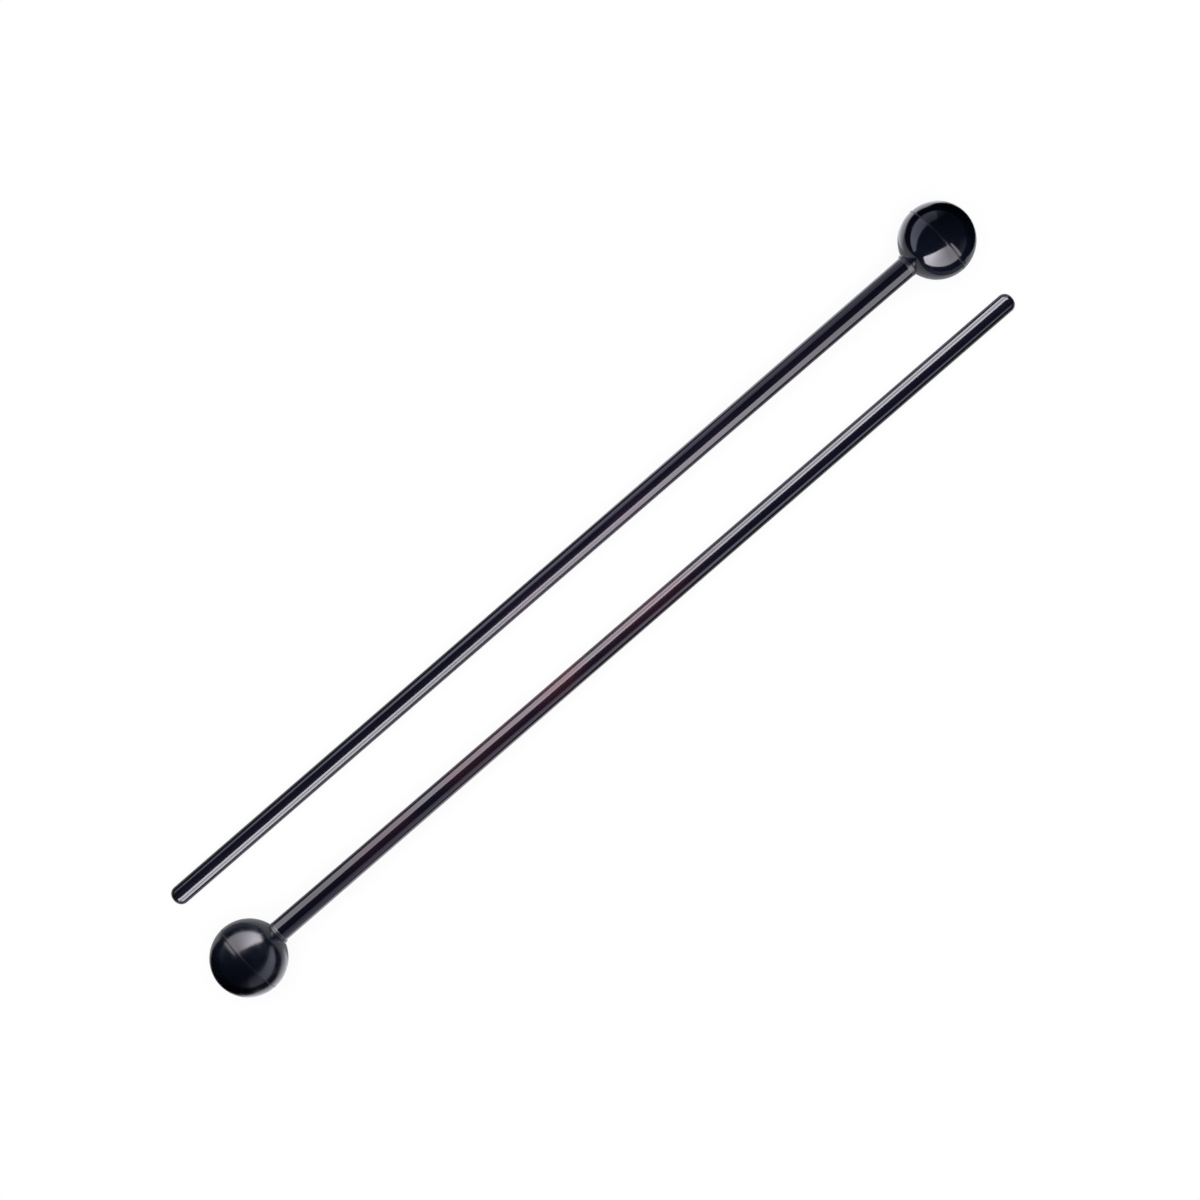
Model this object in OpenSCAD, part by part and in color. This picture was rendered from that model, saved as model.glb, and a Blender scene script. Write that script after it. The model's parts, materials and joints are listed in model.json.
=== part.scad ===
// A pair of ball-headed mallets for a glockenspiel or a xylophone, lying head to tail on a table.
// Each mallet is a moulded ball head, a shaft that is glued into it, and the cured glue between them.
// +X runs along the mallets towards the head of mallet 1, +Y from mallet 2 to mallet 1, +Z is up,
// and the origin is on the table under the middle of the pair. Sizes are in millimetres.

/* [Mallet] */
// Length from the crown of the head to the tip of the shaft
mallet_length = 267.5; // [200:0.5:400]

/* [Head] */
// Diameter of the ball
head_d = 20; // [18:0.5:32]
// Width of the parting band round the ball
band_width = 0.7; // [0.3:0.1:1.5]
// Height of the parting band above the ball
band_height = 0.06; // [0.03:0.01:0.2]
// Depth of the blind bore below its mouth
bore_depth = 13; // [8:0.5:14]
// Width of the flat rim round the mouth of the bore
rim_width = 0.5; // [0.3:0.1:1]

/* [Shaft] */
// Diameter of the straight grip end
grip_d = 5.1; // [4.5:0.1:5.6]
// Length of the straight grip end, from the tip
grip_length = 55; // [30:1:100]
// Radius of the rounding at the tip
tip_round = 2.15; // [1:0.05:2.2]
// Diameter of the end that is glued into the head
root_d = 5.9; // [5:0.1:8]
// Chamfer on the end that is glued into the head
root_chamfer = 0.4; // [0.2:0.1:0.8]

/* [Glue] */
// Thickness of the glue between the shaft and the bore
glue_gap = 0.1; // [0.05:0.05:0.3]
// Height of the squeezed-out bead above the shaft, on its thick side
bead_thick = 0.45; // [0.2:0.05:0.6]
// Height of the squeezed-out bead above the shaft, on its thin side
bead_thin = 0.08; // [0.02:0.01:0.15]
// Length of the bead along the shaft
bead_length = 1.1; // [0.5:0.1:2]

/* [Layout] */
// Distance between the centre lines of the two mallets
pair_spacing = 23.6; // [23:0.1:60]
// How far each tip reaches past the centre of the other mallet's head
tip_overlap = 6.1; // [0:0.1:8]

/* [Hidden] */
$fn = 96;

taper_steps = 12;
bead_steps = 8;
// How far a cutting shape runs past the face that it cuts
cut_past = 1;
// How far the end of the bead's outline sinks into the shaft
bead_bite = 0.05;

head_r = head_d / 2;
band_r = head_r + band_height;
grip_r = grip_d / 2;
root_r = root_d / 2;
bore_r = root_r + glue_gap;

// Along a mallet's own axis, 0 is the centre of the ball and the crown is at +head_r
mouth_z = -sqrt(pow(head_r, 2) - pow(bore_r + rim_width, 2));
bore_floor_z = mouth_z + bore_depth;
tip_z = head_r - mallet_length;
grip_end_z = tip_z + grip_length;
tip_round_z = tip_z + tip_round;

// The mallet leans until the edge of the parting band and the rounded tip both touch the table:
// rise * cos(lean) - run * sin(lean) = tip_round
rise = band_r - (grip_r - tip_round);
run = -tip_round_z - band_width / 2;
lean = acos(tip_round / norm([rise, run])) - atan2(run, rise);
head_height = band_r * cos(lean) + band_width / 2 * sin(lean);

// How far the tip reaches along X from the centre of the ball
tip_reach = -tip_round_z * cos(lean) + tip_round + (grip_r - tip_round) * sin(lean);
head_x = (tip_reach - tip_overlap) / 2;

// Radius of the shaft where it swells from the grip to the head, a parabola from 0 to 1
function swell_r(t) = grip_r + (root_r - grip_r) * pow(t, 2);

swell = [
    for (i = [1 : taper_steps])
        let (t = i / taper_steps)
        [swell_r(t), grip_end_z + (mouth_z - grip_end_z) * t]
];

// Puts a mallet drawn along +Z on the table as mallet 1
module lay() {
    translate([head_x, pair_spacing / 2, head_height])
        rotate([0, 90 - lean, 0])
            children();
}

// Mallet 2 is mallet 1 turned half round about the origin
module place(number) {
    rotate([0, 0, number == 2 ? 180 : 0])
        lay()
            children();
}

// Half outline of the shaft: a rounded tip, the grip, the swelling and the glued end
module shaft_outline() {
    flat_r = grip_r - tip_round;
    translate([0, tip_z])
        square([flat_r, tip_round]);
    intersection() {
        translate([flat_r, tip_round_z])
            circle(r = tip_round);
        translate([flat_r, tip_z])
            square(tip_round);
    }
    polygon(concat(
        [[0, tip_round_z], [grip_r, tip_round_z], [grip_r, grip_end_z]],
        swell,
        [
            [root_r, bore_floor_z - root_chamfer],
            [root_r - root_chamfer, bore_floor_z],
            [0, bore_floor_z]
        ]
    ));
}

module shaft_solid() {
    rotate_extrude()
        shaft_outline();
}

// Half outline of the bead: a quarter oval that stands on the rim and rolls over on to the shaft
module bead_outline(outer_r, width) {
    polygon(concat(
        [[0, 0]],
        [
            for (i = [0 : bead_steps])
                let (a = 90 * i / bead_steps)
                [outer_r - width + width * cos(a), -bead_length * sin(a)]
        ],
        [[0, -bead_length]]
    ));
}

module head(number) {
    color([0.03, 0.035, 0.06])
        place(number)
            difference() {
                union() {
                    sphere(d = head_d);
                    translate([0, 0, -band_width / 2])
                        cylinder(r = band_r, h = band_width);
                }
                // The flat rim round the mouth
                translate([0, 0, mouth_z - head_r])
                    cylinder(r = head_r, h = head_r);
                // The blind bore for the shaft
                translate([0, 0, mouth_z - cut_past])
                    cylinder(r = bore_r, h = bore_depth + cut_past);
            }
}

module shaft(number) {
    color([0.09, 0.06, 0.09])
        place(number)
            shaft_solid();
}

// The glue fills the bore round the shaft, and its bead stands thicker on the mallet's outer side
module glue(number) {
    bead_shift = (bead_thick - bead_thin) / 2;
    bead_r = root_r + (bead_thick + bead_thin) / 2;
    color([0.12, 0.12, 0.13])
        place(number)
            difference() {
                union() {
                    translate([0, 0, mouth_z])
                        cylinder(r = bore_r, h = bore_depth);
                    translate([0, bead_shift, mouth_z])
                        rotate_extrude()
                            bead_outline(bead_r, bead_thick + bead_bite);
                }
                shaft_solid();
            }
}

head(1);  // head_1
shaft(1);  // shaft_1
glue(1);  // glue_1
head(2);  // head_2
shaft(2);  // shaft_2
glue(2);  // glue_2
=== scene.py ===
import bmesh
import bpy
import json
import math
from mathutils import Matrix, Vector


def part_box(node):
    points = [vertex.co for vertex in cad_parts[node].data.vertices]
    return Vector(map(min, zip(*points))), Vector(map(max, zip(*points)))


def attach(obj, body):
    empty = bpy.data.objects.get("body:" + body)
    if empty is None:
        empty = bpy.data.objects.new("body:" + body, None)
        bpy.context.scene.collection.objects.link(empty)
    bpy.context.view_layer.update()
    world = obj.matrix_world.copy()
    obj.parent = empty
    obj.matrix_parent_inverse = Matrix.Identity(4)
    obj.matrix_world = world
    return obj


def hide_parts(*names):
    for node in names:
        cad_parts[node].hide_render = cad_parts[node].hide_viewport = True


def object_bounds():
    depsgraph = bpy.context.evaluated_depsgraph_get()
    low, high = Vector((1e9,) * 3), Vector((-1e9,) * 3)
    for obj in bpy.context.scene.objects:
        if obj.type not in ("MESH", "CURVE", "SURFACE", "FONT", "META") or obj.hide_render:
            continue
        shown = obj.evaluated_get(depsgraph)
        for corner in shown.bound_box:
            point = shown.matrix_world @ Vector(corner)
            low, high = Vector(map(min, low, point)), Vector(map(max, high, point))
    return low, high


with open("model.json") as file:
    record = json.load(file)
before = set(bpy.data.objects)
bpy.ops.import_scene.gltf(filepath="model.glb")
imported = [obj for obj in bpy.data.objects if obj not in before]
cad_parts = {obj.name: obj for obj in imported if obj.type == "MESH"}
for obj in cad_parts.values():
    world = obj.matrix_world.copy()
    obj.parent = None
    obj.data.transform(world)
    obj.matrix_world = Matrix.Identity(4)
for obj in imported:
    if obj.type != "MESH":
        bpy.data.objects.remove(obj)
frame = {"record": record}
cad_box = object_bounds()

# ------------------------------------------------------------------------------------------
# Heads. Each is a ball of hard black plastic, injection moulded in a split mould, which leaves
# a low parting band round it, and then tumbled bright. A blind bore, a hair off square to the
# band, takes the shaft, and a narrow flat is faced round its mouth.
# ------------------------------------------------------------------------------------------
MM = 0.001
NEAR = 0.001 * MM
HEAD_RADIUS = 10 * MM
BAND_HALF = 0.35 * MM
BAND_SHOULDER = 0.2 * MM
BAND_HEIGHT = 0.035 * MM
BAND_TILT = math.radians(2.5)
BAND_DULL = 0.16 * MM
BAND_DULL_END = 0.34 * MM
BAND_ROUGHNESS = 0.34
SHRINKAGE_SIZE = 6 * MM
SHRINKAGE_DEPTH = 0.01 * MM
HAZE_SIZE = 3 * MM
RING_PITCH = 0.4 * MM
RING_LENGTH = 8 * MM
BORE_RADIUS = 3.05 * MM
BORE_DEPTH = 13 * MM
RIM_WIDTH = 0.5 * MM
RIM_EDGE = 0.12 * MM
MOUTH = -math.sqrt(HEAD_RADIUS**2 - (BORE_RADIUS + RIM_WIDTH) ** 2)
SMOOTH_BELOW = math.radians(40)


def to_table(number):
    """The place on the table of a mallet drawn along +Z, with the centre of its ball at the origin."""
    low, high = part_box(f"head_{number}")
    crown_way = -Vector(frame["record"]["mounts"][number - 1]["axis"]).normalized()
    middle = (low + high) / 2
    outward = Vector((0, math.copysign(1, middle.y), 0))
    crown = high.x if crown_way.x > 0 else low.x
    centre = Vector((crown - math.copysign(HEAD_RADIUS, crown_way.x), middle.y, middle.z))
    turned = Matrix((outward.cross(crown_way), outward, crown_way)).transposed()
    return Matrix.Translation(centre) @ turned.to_4x4()


def start_piece(name, add, **sizes):
    """Adds a primitive on the bench and opens it for shaping."""
    bpy.ops.object.select_all(action="DESELECT")
    add(**sizes)
    piece = bpy.context.object
    piece.name = piece.data.name = name
    bpy.ops.object.mode_set(mode="EDIT")
    return piece


def pick(piece, kind, wanted):
    """Selects the verts, edges or faces that pass a test, and nothing else."""
    bpy.ops.mesh.select_mode(type={"verts": "VERT", "edges": "EDGE", "faces": "FACE"}[kind])
    bpy.ops.mesh.select_all(action="DESELECT")
    mesh = bmesh.from_edit_mesh(piece.data)
    for item in getattr(mesh, kind):
        if wanted(item):
            item.select_set(True)
    mesh.select_flush_mode()
    bmesh.update_edit_mesh(piece.data)


def at_height(item, height):
    """Whether an edge or a face lies flat at a height."""
    return all(abs(vert.co.z - height) < NEAR for vert in item.verts)


def cut(height, **options):
    """Cuts the whole piece across at a height."""
    bpy.ops.mesh.select_all(action="SELECT")
    bpy.ops.mesh.bisect(plane_co=(0, 0, height), plane_no=(0, 0, 1), **options)


def roughen(piece, name, size, depth, group=""):
    """Sinks uneven hollows of a size and depth into the piece."""
    clouds = bpy.data.textures.new(name, "CLOUDS")
    clouds.noise_scale = size
    modifier = piece.modifiers.new(name, "DISPLACE")
    modifier.texture = clouds
    modifier.strength = depth
    modifier.mid_level = 1
    modifier.vertex_group = group
    bpy.ops.object.modifier_apply(modifier=name)


def finish_piece(piece, number, node):
    """Lays the piece in its place, hangs it under its mallet's body and hides the CAD part it stands for.
    Its object stays at the origin.
    """
    bpy.ops.object.shade_smooth_by_angle(angle=SMOOTH_BELOW)
    piece.matrix_world = to_table(number) @ piece.matrix_world
    bpy.ops.object.transform_apply(location=True, rotation=True, scale=True)
    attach(piece, f"mallet_{number}")
    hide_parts(node)


def make_head(number):
    head = start_piece(
        f"ball_{number}",
        bpy.ops.mesh.primitive_uv_sphere_add,
        segments=192,
        ring_count=96,
        radius=HEAD_RADIUS,
    )
    # The parting band, with sloping shoulders
    crest = BAND_HALF - BAND_SHOULDER
    for height in (BAND_HALF, crest, -crest, -BAND_HALF):
        cut(height)
    pick(head, "verts", lambda vert: abs(vert.co.z) < crest + NEAR)
    swell = 1 + BAND_HEIGHT / HEAD_RADIUS
    bpy.ops.transform.resize(value=(swell, swell, 1), center_override=(0, 0, 0))
    bpy.ops.object.mode_set(mode="OBJECT")
    roughen(head, f"shrinkage_{number}", size=SHRINKAGE_SIZE, depth=SHRINKAGE_DEPTH)
    head.rotation_euler.x = -BAND_TILT
    bpy.ops.object.transform_apply(location=False, rotation=True, scale=False)
    bpy.ops.object.mode_set(mode="EDIT")
    # The faced mouth and the blind bore
    cut(MOUTH, clear_inner=True, use_fill=True)
    pick(head, "faces", lambda face: at_height(face, MOUTH))
    bpy.ops.mesh.inset(thickness=RIM_WIDTH)
    bpy.ops.mesh.extrude_region_move(TRANSFORM_OT_translate={"value": (0, 0, BORE_DEPTH)})
    half_rim = BORE_RADIUS + RIM_WIDTH / 2
    pick(
        head,
        "edges",
        lambda edge: at_height(edge, MOUTH) and all(vert.co.xy.length > half_rim for vert in edge.verts),
    )
    bpy.ops.mesh.bevel(offset=RIM_EDGE, segments=3, affect="EDGES")
    bpy.ops.object.mode_set(mode="OBJECT")
    finish_piece(head, number, f"head_{number}")
    return head


def linear(hex_colour):
    """An sRGB hex colour as linear red, green, blue and alpha."""
    parts = [int(hex_colour[i : i + 2], 16) / 255 for i in (1, 3, 5)]
    return [c / 12.92 if c <= 0.04045 else ((c + 0.055) / 1.055) ** 2.4 for c in parts] + [1]


def add_node(tree, kind, settings=None, inputs=None):
    """Adds a node with its settings. Each input is a value or another node's output."""
    made = tree.nodes.new(kind)
    for name, value in (settings or {}).items():
        setattr(made, name, value)
    for name, value in (inputs or {}).items():
        if isinstance(value, bpy.types.NodeSocket):
            tree.links.new(value, made.inputs[name])
        else:
            made.inputs[name].default_value = value
    return made


def start_material(name, number):
    """A material with its shader, and the point on the mallet in millimetres, +Z towards the crown."""
    material = bpy.data.materials.new(f"{name}_{number}")
    material.use_nodes = True
    tree = material.node_tree
    tree.nodes.clear()
    shader = add_node(tree, "ShaderNodeBsdfPrincipled")
    add_node(tree, "ShaderNodeOutputMaterial", inputs={"Surface": shader.outputs["BSDF"]})
    coordinates = add_node(tree, "ShaderNodeTexCoord")
    place = to_table(number)
    point = add_node(
        tree,
        "ShaderNodeMapping",
        {"vector_type": "TEXTURE"},
        {
            "Vector": coordinates.outputs["Object"],
            "Location": place.to_translation(),
            "Rotation": place.to_euler(),
            "Scale": (MM, MM, MM),
        },
    )
    return material, tree, shader, point.outputs["Vector"]


# Moulded ABS, tumbled to a deep blue-black gloss that mirrors the lamps. It shows soft patches
# of haze where it has been struck, faint rings left by tumbling, and a duller parting band.
def head_plastic(number, gloss, haze, ring_depth):
    material, tree, shader, point = start_material("tumbled_moulded_abs", number)
    shader.inputs["IOR"].default_value = 1.52
    # Patches of haze
    patches = add_node(
        tree,
        "ShaderNodeTexNoise",
        inputs={"Vector": point, "Scale": MM / HAZE_SIZE, "Detail": 4.0},
    )
    # Rings, square to the mould
    mould_point = add_node(
        tree,
        "ShaderNodeMapping",
        inputs={"Vector": point, "Rotation": (BAND_TILT, 0, 0)},
    )
    ring_point = add_node(
        tree,
        "ShaderNodeMapping",
        inputs={
            "Vector": mould_point.outputs["Vector"],
            "Scale": (MM / RING_LENGTH, MM / RING_LENGTH, MM / RING_PITCH),
        },
    )
    rings = add_node(
        tree,
        "ShaderNodeTexNoise",
        inputs={"Vector": ring_point.outputs["Vector"], "Scale": 1.0, "Detail": 3.0},
    )
    # The band, which is duller along its middle
    split = add_node(tree, "ShaderNodeSeparateXYZ", inputs={"Vector": mould_point.outputs["Vector"]})
    from_band = add_node(tree, "ShaderNodeMath", {"operation": "ABSOLUTE"}, {0: split.outputs["Z"]})
    on_band = add_node(
        tree,
        "ShaderNodeMapRange",
        {"interpolation_type": "SMOOTHSTEP"},
        {
            "Value": from_band.outputs["Value"],
            "From Min": BAND_DULL / MM,
            "From Max": BAND_DULL_END / MM,
            "To Min": 1.0,
            "To Max": 0.0,
        },
    )
    colour = add_node(
        tree,
        "ShaderNodeMix",
        {"data_type": "RGBA"},
        {0: patches.outputs["Fac"], 6: linear("#04060c"), 7: linear("#0a0e18")},
    )
    skin = add_node(
        tree,
        "ShaderNodeMapRange",
        inputs={
            "Value": patches.outputs["Fac"],
            "From Min": 0.35,
            "From Max": 0.7,
            "To Min": gloss,
            "To Max": haze,
        },
    )
    roughness = add_node(
        tree,
        "ShaderNodeMapRange",
        inputs={
            "Value": on_band.outputs["Result"],
            "To Min": skin.outputs["Result"],
            "To Max": BAND_ROUGHNESS,
        },
    )
    bump = add_node(
        tree,
        "ShaderNodeBump",
        inputs={"Height": rings.outputs["Fac"], "Distance": ring_depth, "Strength": 1.0},
    )
    tree.links.new(colour.outputs[2], shader.inputs["Base Color"])
    tree.links.new(roughness.outputs["Result"], shader.inputs["Roughness"])
    tree.links.new(bump.outputs["Normal"], shader.inputs["Normal"])
    return material


heads = [make_head(1), make_head(2)]
heads[0].data.materials.append(head_plastic(1, gloss=0.07, haze=0.14, ring_depth=0.001 * MM))
heads[1].data.materials.append(head_plastic(2, gloss=0.16, haze=0.28, ring_depth=0.004 * MM))

# ------------------------------------------------------------------------------------------
# Shafts. Each is one moulded plastic rod, straight at the grip, swelling gently to the head,
# with a full round at the tip. Its chamfered end stands on the floor of the bore.
# ------------------------------------------------------------------------------------------
MALLET_LENGTH = 267.5 * MM
GRIP_RADIUS = frame["record"]["mounts"][0]["dims"]["r_mm"] * MM
GRIP_LENGTH = 55 * MM
TIP_ROUND = 2.15 * MM
ROOT_RADIUS = 2.95 * MM
ROOT_CHAMFER = 0.4 * MM
TIP = HEAD_RADIUS - MALLET_LENGTH
GRIP_END = TIP + GRIP_LENGTH
BORE_FLOOR = MOUTH + BORE_DEPTH
RING_STEP = 3 * MM
FLOW_SIZE = 7 * MM
FLOW_DEPTH = 0.008 * MM
TINT_SIZE = 25 * MM
WARMEST = -95 * MM
WARM_HALF = 20 * MM
WARM_END = 80 * MM
STREAK_WIDTH = 0.5 * MM
STREAK_LENGTH = 150 * MM
STREAK_DEPTH = 0.012 * MM
STREAK_DULLNESS = 0.15
LINE_TURN = math.radians(28)
LINE_HALF = 0.1 * MM
LINE_EDGE = 0.26 * MM
LINE_FULL = -150 * MM
LINE_GONE = -60 * MM
LINE_ROUGHNESS = 0.6


def shaft_radius(height):
    """The radius of the swelling, which grows as a parabola from the grip to the mouth."""
    part = min(max((height - GRIP_END) / (MOUTH - GRIP_END), 0), 1)
    return GRIP_RADIUS + (ROOT_RADIUS - GRIP_RADIUS) * part**2


def make_shaft(number):
    shaft = start_piece(
        f"rod_{number}",
        bpy.ops.mesh.primitive_cylinder_add,
        vertices=96,
        radius=GRIP_RADIUS,
        depth=BORE_FLOOR - TIP,
        location=(0, 0, (BORE_FLOOR + TIP) / 2),
    )
    bpy.ops.object.mode_set(mode="OBJECT")
    bpy.ops.object.transform_apply(location=True, rotation=False, scale=False)
    bpy.ops.object.mode_set(mode="EDIT")
    # The round at the tip
    pick(shaft, "edges", lambda edge: at_height(edge, TIP))
    bpy.ops.mesh.bevel(offset=TIP_ROUND, segments=12, affect="EDGES")
    # The swelling, ring by ring
    rings = math.floor((MOUTH - TIP - TIP_ROUND) / RING_STEP)
    heights = [MOUTH - RING_STEP * i for i in range(rings)]
    for height in heights:
        cut(height)
    for height in [BORE_FLOOR] + heights:
        pick(shaft, "verts", lambda vert: abs(vert.co.z - height) < NEAR)
        swell = shaft_radius(height) / GRIP_RADIUS
        bpy.ops.transform.resize(value=(swell, swell, 1), center_override=(0, 0, height))
    # The chamfer at the root
    pick(shaft, "edges", lambda edge: at_height(edge, BORE_FLOOR))
    bpy.ops.mesh.bevel(offset=ROOT_CHAMFER, segments=1, affect="EDGES")
    bpy.ops.object.mode_set(mode="OBJECT")
    roughen(shaft, f"flow_marks_{number}", size=FLOW_SIZE, depth=FLOW_DEPTH)
    finish_piece(shaft, number, f"shaft_{number}")
    return shaft


# Moulded ABS with a blue-black gloss, as it left the mould. Where it is warmest it is plum, in
# its body and in its sheen. Fine flow streaks and a dull parting line run along it, and break the
# lamps' reflections into bands.
def shaft_plastic(number, cool, warm, sheen, gloss):
    material, tree, shader, point = start_material("streaked_moulded_abs", number)
    shader.inputs["IOR"].default_value = 1.53
    # The tint comes in patches, and is warm in the half of the shaft nearer the head
    tint = add_node(
        tree,
        "ShaderNodeTexNoise",
        inputs={"Vector": point, "Scale": MM / TINT_SIZE, "Detail": 2.0},
    )
    patches = add_node(
        tree,
        "ShaderNodeMapRange",
        inputs={
            "Value": tint.outputs["Fac"],
            "From Min": 0.38,
            "From Max": 0.62,
            "To Min": 0.1,
            "To Max": 1.0,
        },
    )
    split = add_node(tree, "ShaderNodeSeparateXYZ", inputs={"Vector": point})
    from_warmest = add_node(
        tree,
        "ShaderNodeMath",
        {"operation": "SUBTRACT"},
        {0: split.outputs["Z"], 1: WARMEST / MM},
    )
    distance = add_node(
        tree,
        "ShaderNodeMath",
        {"operation": "ABSOLUTE"},
        {0: from_warmest.outputs["Value"]},
    )
    warmth = add_node(
        tree,
        "ShaderNodeMapRange",
        {"interpolation_type": "SMOOTHSTEP"},
        {
            "Value": distance.outputs["Value"],
            "From Min": WARM_HALF / MM,
            "From Max": WARM_END / MM,
            "To Min": 1.0,
            "To Max": 0.0,
        },
    )
    warm_share = add_node(
        tree,
        "ShaderNodeMath",
        {"operation": "MULTIPLY", "use_clamp": True},
        {0: patches.outputs["Result"], 1: warmth.outputs["Result"]},
    )
    # Long narrow streaks
    streak_point = add_node(
        tree,
        "ShaderNodeMapping",
        inputs={
            "Vector": point,
            "Scale": (MM / STREAK_WIDTH, MM / STREAK_WIDTH, MM / STREAK_LENGTH),
        },
    )
    streaks = add_node(
        tree,
        "ShaderNodeTexNoise",
        inputs={"Vector": streak_point.outputs["Vector"], "Scale": 1.0, "Detail": 2.0},
    )
    colour = add_node(
        tree,
        "ShaderNodeMix",
        {"data_type": "RGBA"},
        {0: warm_share.outputs["Value"], 6: linear(cool), 7: linear(warm)},
    )
    reflection = add_node(
        tree,
        "ShaderNodeMix",
        {"data_type": "RGBA"},
        {0: warm_share.outputs["Value"], 6: linear("#ffffff"), 7: linear(sheen)},
    )
    roughness = add_node(
        tree,
        "ShaderNodeMapRange",
        inputs={
            "Value": streaks.outputs["Fac"],
            "From Min": 0.45,
            "From Max": 0.65,
            "To Min": gloss,
            "To Max": gloss + STREAK_DULLNESS,
        },
    )
    # The mould's fine parting line, which is dull and fades out towards the head
    toward = add_node(
        tree,
        "ShaderNodeVectorMath",
        {"operation": "DOT_PRODUCT"},
        {0: point, 1: (-math.cos(LINE_TURN), -math.sin(LINE_TURN), 0)},
    )
    across = add_node(
        tree,
        "ShaderNodeVectorMath",
        {"operation": "DOT_PRODUCT"},
        {0: point, 1: (math.sin(LINE_TURN), -math.cos(LINE_TURN), 0)},
    )
    aside = add_node(tree, "ShaderNodeMath", {"operation": "ABSOLUTE"}, {0: across.outputs["Value"]})
    stripe = add_node(
        tree,
        "ShaderNodeMapRange",
        {"interpolation_type": "SMOOTHSTEP"},
        {
            "Value": aside.outputs["Value"],
            "From Min": LINE_HALF / MM,
            "From Max": LINE_EDGE / MM,
            "To Min": 1.0,
            "To Max": 0.0,
        },
    )
    one_side = add_node(
        tree,
        "ShaderNodeMath",
        {"operation": "GREATER_THAN"},
        {0: toward.outputs["Value"], 1: 0.0},
    )
    fade = add_node(
        tree,
        "ShaderNodeMapRange",
        {"interpolation_type": "SMOOTHSTEP"},
        {
            "Value": split.outputs["Z"],
            "From Min": LINE_FULL / MM,
            "From Max": LINE_GONE / MM,
            "To Min": 1.0,
            "To Max": 0.0,
        },
    )
    strength = add_node(
        tree,
        "ShaderNodeMath",
        {"operation": "MULTIPLY"},
        {0: fade.outputs["Result"], 1: one_side.outputs["Value"]},
    )
    on_line = add_node(
        tree,
        "ShaderNodeMath",
        {"operation": "MULTIPLY"},
        {0: stripe.outputs["Result"], 1: strength.outputs["Value"]},
    )
    dullness = add_node(
        tree,
        "ShaderNodeMapRange",
        inputs={
            "Value": on_line.outputs["Value"],
            "To Min": roughness.outputs["Result"],
            "To Max": LINE_ROUGHNESS,
        },
    )
    bump = add_node(
        tree,
        "ShaderNodeBump",
        inputs={"Height": streaks.outputs["Fac"], "Distance": STREAK_DEPTH, "Strength": 1.0},
    )
    tree.links.new(colour.outputs[2], shader.inputs["Base Color"])
    tree.links.new(reflection.outputs[2], shader.inputs["Specular Tint"])
    tree.links.new(dullness.outputs["Result"], shader.inputs["Roughness"])
    tree.links.new(bump.outputs["Normal"], shader.inputs["Normal"])
    return material


shafts = [make_shaft(1), make_shaft(2)]
shafts[0].data.materials.append(
    shaft_plastic(1, cool="#090912", warm="#140f1a", sheen="#fff9fc", gloss=0.08)
)
shafts[1].data.materials.append(
    shaft_plastic(2, cool="#080812", warm="#221217", sheen="#ffe9ed", gloss=0.08)
)

# ------------------------------------------------------------------------------------------
# Glue. A film of adhesive holds the shaft in the bore, and what was squeezed out has cured as
# a lip round the mouth, thicker on the mallet's outer side.
# ------------------------------------------------------------------------------------------
BEAD_LENGTH = 1.1 * MM
BEAD_THICK = 0.45 * MM
BEAD_THIN = 0.08 * MM
BEAD_STEPS = 8
RUN_SIZE = 1.2 * MM
RUN_DEPTH = 0.08 * MM
LUMP_SIZE = 0.6 * MM
LUMP_DEPTH = 0.03 * MM


def make_glue(number):
    glue = start_piece(
        f"glue_lip_{number}",
        bpy.ops.mesh.primitive_circle_add,
        vertices=96,
        radius=ROOT_RADIUS,
        location=(0, 0, MOUTH - BEAD_LENGTH),
    )
    bpy.ops.object.mode_set(mode="OBJECT")
    bpy.ops.object.transform_apply(location=True, rotation=False, scale=False)
    bpy.ops.object.mode_set(mode="EDIT")
    bpy.ops.mesh.select_all(action="SELECT")
    last = {"radius": ROOT_RADIUS, "shift": 0, "height": MOUTH - BEAD_LENGTH}

    def draw_ring(radius, shift, height):
        """Draws the open edge out to a new ring."""
        bpy.ops.mesh.extrude_region_move()
        swell = radius / last["radius"]
        bpy.ops.transform.resize(
            value=(swell, swell, 1), center_override=(0, last["shift"], last["height"])
        )
        bpy.ops.transform.translate(value=(0, shift - last["shift"], height - last["height"]))
        last.update(radius=radius, shift=shift, height=height)

    # The lip, a quarter oval
    for i in range(1, BEAD_STEPS + 1):
        angle = math.pi / 2 * i / BEAD_STEPS
        full = math.sin(angle)
        draw_ring(
            ROOT_RADIUS + (BEAD_THICK + BEAD_THIN) / 2 * full,
            (BEAD_THICK - BEAD_THIN) / 2 * full,
            MOUTH - BEAD_LENGTH * math.cos(angle),
        )
    # The film in the bore, and back down the shaft
    draw_ring(BORE_RADIUS, 0, MOUTH)
    draw_ring(BORE_RADIUS, 0, BORE_FLOOR)
    draw_ring(ROOT_RADIUS, 0, BORE_FLOOR)
    draw_ring(ROOT_RADIUS, 0, MOUTH - BEAD_LENGTH)
    bpy.ops.mesh.select_all(action="SELECT")
    bpy.ops.mesh.remove_doubles(threshold=NEAR)
    bpy.ops.mesh.normals_make_consistent(inside=False)
    bpy.ops.object.mode_set(mode="OBJECT")
    lip = glue.vertex_groups.new(name="lip")
    on_lip = [
        vert.index
        for vert in glue.data.vertices
        if vert.co.z < MOUTH - NEAR and vert.co.xy.length > ROOT_RADIUS + NEAR
    ]
    lip.add(on_lip, 1, "REPLACE")
    roughen(glue, f"runs_{number}", size=RUN_SIZE, depth=RUN_DEPTH, group="lip")
    finish_piece(glue, number, f"glue_{number}")
    return glue


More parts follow.
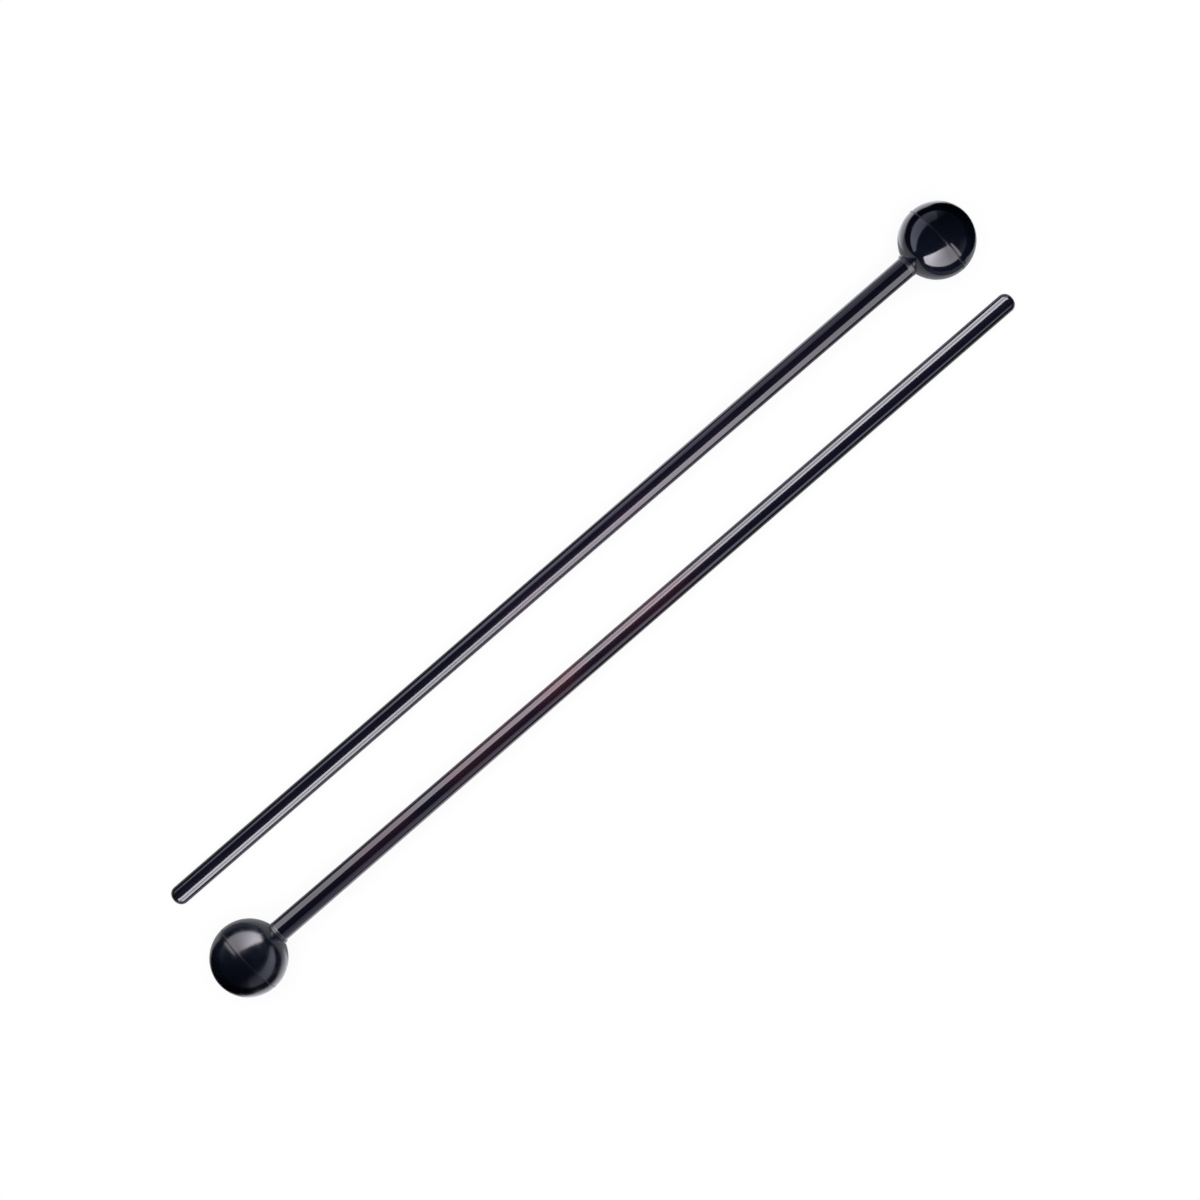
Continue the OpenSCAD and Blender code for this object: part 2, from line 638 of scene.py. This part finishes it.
# Cured epoxy, squeezed out and left as it set: dark grey, softly glossy and a little lumpy.
def cured_glue(number):
    material, tree, shader, point = start_material("cured_epoxy", number)
    shader.inputs["IOR"].default_value = 1.55
    lumps = add_node(
        tree,
        "ShaderNodeTexNoise",
        inputs={"Vector": point, "Scale": MM / LUMP_SIZE, "Detail": 3.0},
    )
    colour = add_node(
        tree,
        "ShaderNodeMix",
        {"data_type": "RGBA"},
        {0: lumps.outputs["Fac"], 6: linear("#101116"), 7: linear("#24262b")},
    )
    roughness = add_node(
        tree,
        "ShaderNodeMapRange",
        inputs={"Value": lumps.outputs["Fac"], "To Min": 0.2, "To Max": 0.45},
    )
    bump = add_node(
        tree,
        "ShaderNodeBump",
        inputs={"Height": lumps.outputs["Fac"], "Distance": LUMP_DEPTH, "Strength": 1.0},
    )
    tree.links.new(colour.outputs[2], shader.inputs["Base Color"])
    tree.links.new(roughness.outputs["Result"], shader.inputs["Roughness"])
    tree.links.new(bump.outputs["Normal"], shader.inputs["Normal"])
    return material


glues = [make_glue(1), make_glue(2)]
for number, glue in enumerate(glues, 1):
    glue.data.materials.append(cured_glue(number))

# ------------------------------------------------------------------------------------------
# Table. A wide white sheet that the mallets lie on. It burns out to white and keeps a faint
# shadow. A black card with a window lies round the pair, out of the camera's sight, so that
# the gloss shows white only near the table's middle.
# ------------------------------------------------------------------------------------------
TABLE_SIZE = 12
TABLE_DROP = 0.02 * MM
BURN_OUT = 0.85
BURN_STRENGTH = 1.07
WINDOW_PAST_NOSE = 4 * MM
WINDOW_PAST_AXIS = 32 * MM
WINDOW_PAST_TIP = 10 * MM
WINDOW_CORNER = 5 * MM
CARD_WIDTH = 4
CARD_LIFT = 0.1 * MM


def lay_flat(name, size_x, size_y, height):
    """A flat sheet on the table, with its place in its mesh."""
    bpy.ops.object.select_all(action="DESELECT")
    bpy.ops.mesh.primitive_plane_add(size=1, location=(0, 0, height))
    sheet = bpy.context.object
    sheet.name = name
    sheet.scale = (size_x, size_y, 1)
    bpy.ops.object.transform_apply(location=True, rotation=True, scale=True)
    return sheet


table = lay_flat("table", TABLE_SIZE, TABLE_SIZE, -TABLE_DROP)
paper = bpy.data.materials.new("white_paper")
paper.use_nodes = True
tree = paper.node_tree
tree.nodes.clear()
ray = add_node(tree, "ShaderNodeLightPath")
white_share = add_node(
    tree,
    "ShaderNodeMath",
    {"operation": "MULTIPLY"},
    {0: ray.outputs["Is Camera Ray"], 1: BURN_OUT},
)
matt = add_node(tree, "ShaderNodeBsdfDiffuse", inputs={"Color": linear("#e6e6e6")})
white = add_node(tree, "ShaderNodeEmission", inputs={"Color": (1, 1, 1, 1), "Strength": BURN_STRENGTH})
surface = add_node(
    tree,
    "ShaderNodeMixShader",
    inputs={0: white_share.outputs["Value"], 1: matt.outputs["BSDF"], 2: white.outputs["Emission"]},
)
add_node(tree, "ShaderNodeOutputMaterial", inputs={"Surface": surface.outputs["Shader"]})
table.data.materials.append(paper)

nose = cad_box[1].x
axis_offset = to_table(1).to_translation().y
window_x = 2 * (nose + WINDOW_PAST_NOSE)
window_y = 2 * (axis_offset + WINDOW_PAST_AXIS)
card = lay_flat("black_card", window_x + 2 * CARD_WIDTH, window_y + 2 * CARD_WIDTH, CARD_LIFT)
bpy.ops.object.mode_set(mode="EDIT")
bpy.ops.mesh.select_all(action="SELECT")
bpy.ops.mesh.inset(thickness=CARD_WIDTH)
bpy.ops.mesh.delete(type="FACE")


def pick_corner(side_x, side_y):
    """Selects the corner of the card's window on two sides of the middle."""
    pick(
        card,
        "verts",
        lambda vert: vert.co.x * side_x > 0 and vert.co.y * side_y > 0 and vert.co.xy.length < CARD_WIDTH,
    )


# The window is wide beside each ball and narrow beside each tip
for side in (1, -1):
    pick_corner(-side, side)
    bpy.ops.transform.translate(value=(0, side * (WINDOW_PAST_TIP - WINDOW_PAST_AXIS), 0))
    pick_corner(side, side)
    bpy.ops.transform.translate(value=(side * WINDOW_CORNER, 0, 0))
bpy.ops.object.mode_set(mode="OBJECT")
card.visible_camera = card.visible_diffuse = card.visible_shadow = card.visible_transmission = False
flock = bpy.data.materials.new("black_flock")
flock.use_nodes = True
tree = flock.node_tree
tree.nodes.clear()
matt = add_node(tree, "ShaderNodeBsdfDiffuse", inputs={"Color": linear("#08080a")})
add_node(tree, "ShaderNodeOutputMaterial", inputs={"Surface": matt.outputs["BSDF"]})
card.data.materials.append(flock)

# ------------------------------------------------------------------------------------------
# Room. It is white to the camera. To the gloss it is dark overhead, with pale walls low down
# on the two long sides, which the rims of the balls and shafts reflect.
# ------------------------------------------------------------------------------------------
# In a direction of length 1: how far sideways a wall begins and is full, and how far up it starts
# to fade and is gone
WALL_BEGIN, WALL_FULL = 0.45, 0.9
WALL_FADE, WALL_TOP = 0.1, 0.6
world = bpy.data.worlds.new("studio")
bpy.context.scene.world = world
world.use_nodes = True
tree = world.node_tree
tree.nodes.clear()
ray = add_node(tree, "ShaderNodeLightPath")
direction = add_node(tree, "ShaderNodeTexCoord")
parts = add_node(tree, "ShaderNodeSeparateXYZ", inputs={"Vector": direction.outputs["Generated"]})
sideways = add_node(tree, "ShaderNodeMath", {"operation": "ABSOLUTE"}, {0: parts.outputs["Y"]})
on_wall = add_node(
    tree,
    "ShaderNodeMapRange",
    {"interpolation_type": "SMOOTHSTEP"},
    {
        "Value": sideways.outputs["Value"],
        "From Min": WALL_BEGIN,
        "From Max": WALL_FULL,
        "To Min": 0.0,
        "To Max": 1.0,
    },
)
low_down = add_node(
    tree,
    "ShaderNodeMapRange",
    {"interpolation_type": "SMOOTHSTEP"},
    {
        "Value": parts.outputs["Z"],
        "From Min": WALL_FADE,
        "From Max": WALL_TOP,
        "To Min": 1.0,
        "To Max": 0.0,
    },
)
wall = add_node(
    tree,
    "ShaderNodeMath",
    {"operation": "MULTIPLY"},
    {0: on_wall.outputs["Result"], 1: low_down.outputs["Result"]},
)
glow = add_node(
    tree,
    "ShaderNodeMix",
    {"data_type": "RGBA"},
    {0: wall.outputs["Value"], 6: linear("#2a3040"), 7: linear("#9094a8")},
)
room = add_node(tree, "ShaderNodeBackground", inputs={"Color": glow.outputs[2], "Strength": 1.0})
seen = add_node(tree, "ShaderNodeBackground", inputs={"Color": (1, 1, 1, 1), "Strength": 1.0})
around = add_node(
    tree,
    "ShaderNodeMixShader",
    inputs={
        0: ray.outputs["Is Camera Ray"],
        1: room.outputs["Background"],
        2: seen.outputs["Background"],
    },
)
add_node(tree, "ShaderNodeOutputWorld", inputs={"Surface": around.outputs["Shader"]})

# ------------------------------------------------------------------------------------------
# Lamps. An overhead softbox lights the table. Each mallet has its own tall softbox on its inner
# side, the key. On its outer side the head and the shaft each have a lower softbox, the fill,
# and a bright panel that lies on the table.
# ------------------------------------------------------------------------------------------
INNER, OUTER = -1, 1
OVERHEAD_HEIGHT = 0.9
OVERHEAD_SIZE = 1.2
OVERHEAD_RADIANCE = 2.3
KEY_DISTANCE = 0.14
KEY_SPAN = (-0.7, 5.0)
KEY_RISE = (0.05, 1.85)
FILL_DISTANCE = 0.12
FILL_SPAN = (-0.8, 4.0)
FILL_RISE = (-0.06, 1.3)
PANEL_UNIT = 0.1
PANEL_LIFT = 0.3 * MM
HEAD_PANEL_SPAN = (-0.16, 0.24)
HEAD_PANEL_REACH = (0.1, 0.34)
SHAFT_PANEL_SPAN = (-0.1, 1.9)
SHAFT_PANEL_REACH = (0.04, 0.8)

# Each ramp has a way across a lamp (along its span and along its reach), the two places on that
# way where it starts and ends, and the glow there. Spans run towards the tip.
# The key is brighter towards the tip and upwards. Its ball end, its top and its far corner slant.
KEY_RAMPS = (
    ((1, 0), 0.1, 1.7, 3.8, 11.5),
    ((0, 1), 0.0, 1.8, 0.85, 1.15),
    ((1, 0.15), -0.36, -0.28, 0.0, 1.0),
    ((0.35, -1), -1.68, -1.56, 0.0, 1.0),
    ((-0.5, 1), -1.2, -1.0, 0.0, 1.0),
)
# The head's fill is dim past the ball, brighter towards the tip, and cut off at its foot and top.
HEAD_FILL_RAMPS = (
    ((1, 0), -0.2, -0.12, 0.4, 1.0),
    ((1, 0), 0.0, 1.5, 1.25, 2.2),
    ((0, 1), 0.05, 0.1, 0.0, 1.0),
    ((0, -1), -0.85, -0.75, 0.0, 1.0),
)
# The shaft's fill is brighter towards the tip and at its foot beside the head, and its foot and top
# slant.
SHAFT_FILL_RAMPS = (
    ((1, 0), 0.0, 1.5, 0.75, 2.6),
    ((0.5, 1), 0.0, 0.2, 3.0, 1.0),
    ((-0.08, 1), -0.03, 0.03, 0.0, 1.0),
    ((-0.32, -1), -1.26, -1.16, 0.0, 1.0),
)
# The panels fade towards the tip, and the shaft's is brightest beside the head and slants outside.
HEAD_PANEL_RAMPS = (((1, 0), 0.14, 0.24, 1.3, 0.3),)
SHAFT_PANEL_RAMPS = (
    ((1, 0), 0.5, 1.8, 1.3, 0.3),
    ((1, 0), 0.1, 0.5, 1.6, 1.0),
    ((-0.6, -1), -0.9, -0.7, 0.0, 1.0),
)


def group_of(name, pieces):
    """A collection of pieces that a lamp lights, or that shade it."""
    group = bpy.data.collections.new(name)
    for piece in pieces:
        group.objects.link(piece)
    return group


def add_lamp(name, place, width, height, radiance, lit, blockers=None):
    """A flat lamp that shines along its -Z on the lit pieces only. A radiance of 1 looks white."""
    lamp = bpy.data.lights.new(name, "AREA")
    lamp.shape = "RECTANGLE"
    lamp.size = width
    lamp.size_y = height
    lamp.energy = radiance * math.pi * width * height
    holder = bpy.data.objects.new(name, lamp)
    bpy.context.scene.collection.objects.link(holder)
    holder.matrix_world = place
    holder.visible_camera = False
    holder.light_linking.receiver_collection = lit
    holder.light_linking.blocker_collection = blockers
    return lamp


def beside(number, side, unit, span, reach, lying=False):
    """The place, width and height of a lamp beside a mallet. The span runs from the centre of the
    ball towards the tip, in units. A standing lamp is a unit away, and its reach is its height
    above the ball's centre. A lying lamp shines up, and its reach is sideways."""
    ball = to_table(number).to_translation()
    tipward = Vector((-math.copysign(1, ball.x), 0, 0))
    aside = Vector((0, math.copysign(1, ball.y) * side, 0))
    up = Vector((0, 0, 1))
    if lying:
        centre = Vector((ball.x, ball.y, PANEL_LIFT)) + unit * aside * sum(reach) / 2
        turned = Matrix((up.cross(aside), aside, -up)).transposed()
    else:
        centre = ball + unit * (aside + up * sum(reach) / 2)
        turned = Matrix((up.cross(aside), up, aside)).transposed()
    centre += unit * tipward * sum(span) / 2
    place = Matrix.Translation(centre) @ turned.to_4x4()
    return place, unit * (span[1] - span[0]), unit * (reach[1] - reach[0])


def shape_glow(lamp, side, span, reach, colour, ramps):
    """Makes a lamp glow as the product of ramps over its span and reach."""
    first, last = span if side == OUTER else reversed(span)
    lamp.use_nodes = True
    tree = lamp.node_tree
    tree.nodes.clear()
    geometry = add_node(tree, "ShaderNodeNewGeometry")
    spot = add_node(
        tree,
        "ShaderNodeMapping",
        inputs={
            "Vector": geometry.outputs["Parametric"],
            "Location": (first, reach[0], 0),
            "Scale": (last - first, reach[1] - reach[0], 1),
        },
    )
    glow = 1.0
    for way, start, end, start_glow, end_glow in ramps:
        along = add_node(
            tree,
            "ShaderNodeVectorMath",
            {"operation": "DOT_PRODUCT"},
            {0: spot.outputs["Vector"], 1: (*way, 0)},
        )
        ramp = add_node(
            tree,
            "ShaderNodeMapRange",
            inputs={
                "Value": along.outputs["Value"],
                "From Min": start,
                "From Max": end,
                "To Min": start_glow,
                "To Max": end_glow,
            },
        )
        product = add_node(
            tree,
            "ShaderNodeMath",
            {"operation": "MULTIPLY"},
            {0: glow, 1: ramp.outputs["Result"]},
        )
        glow = product.outputs["Value"]
    emission = add_node(tree, "ShaderNodeEmission", inputs={"Color": linear(colour), "Strength": glow})
    add_node(tree, "ShaderNodeOutputLight", inputs={"Surface": emission.outputs["Emission"]})


add_lamp(
    "overhead",
    Matrix.Translation((0, 0, OVERHEAD_HEIGHT)),
    OVERHEAD_SIZE,
    OVERHEAD_SIZE,
    OVERHEAD_RADIANCE,
    lit=group_of("lit_by_overhead", [table]),
)
for number, (head, shaft, glue) in enumerate(zip(heads, shafts, glues), 1):
    mallet = group_of(f"pieces_of_mallet_{number}", [head, shaft, glue])
    head_only = group_of(f"head_of_mallet_{number}", [head])
    shaft_and_glue = group_of(f"rest_of_mallet_{number}", [shaft, glue])
    place = beside(number, INNER, KEY_DISTANCE, KEY_SPAN, KEY_RISE)
    key = add_lamp(f"key_{number}", *place, radiance=1.0, lit=mallet, blockers=mallet)
    shape_glow(key, INNER, KEY_SPAN, KEY_RISE, "#fdf7ff", KEY_RAMPS)
    for name, lit, ramps in (
        ("head", head_only, HEAD_FILL_RAMPS),
        ("shaft", shaft_and_glue, SHAFT_FILL_RAMPS),
    ):
        place = beside(number, OUTER, FILL_DISTANCE, FILL_SPAN, FILL_RISE)
        fill = add_lamp(f"{name}_fill_{number}", *place, radiance=1.0, lit=lit, blockers=mallet)
        shape_glow(fill, OUTER, FILL_SPAN, FILL_RISE, "#e2e4ff", ramps)
    for name, lit, span, reach, ramps in (
        ("head", head_only, HEAD_PANEL_SPAN, HEAD_PANEL_REACH, HEAD_PANEL_RAMPS),
        ("shaft", shaft_and_glue, SHAFT_PANEL_SPAN, SHAFT_PANEL_REACH, SHAFT_PANEL_RAMPS),
    ):
        place = beside(number, OUTER, PANEL_UNIT, span, reach, lying=True)
        panel = add_lamp(f"{name}_panel_{number}", *place, radiance=1.0, lit=lit, blockers=mallet)
        shape_glow(panel, OUTER, span, reach, "#f2f2ff", ramps)

# ------------------------------------------------------------------------------------------
# Camera. It looks straight down on the pair, turned so that the mallets run from lower left
# to upper right.
# ------------------------------------------------------------------------------------------
CAMERA_PLACE = (1.2 * MM, -1.35 * MM, 0.765)
CAMERA_TURN = math.radians(-40.84)
LENS = 89.2
SENSOR = 36
camera = bpy.data.objects.new("camera", bpy.data.cameras.new("camera"))
bpy.context.scene.collection.objects.link(camera)
camera.data.lens = LENS
camera.data.sensor_width = SENSOR
camera.location = CAMERA_PLACE
camera.rotation_euler = (0, 0, CAMERA_TURN)
bpy.context.scene.camera = camera
bpy.context.scene.view_settings.view_transform = "Standard"
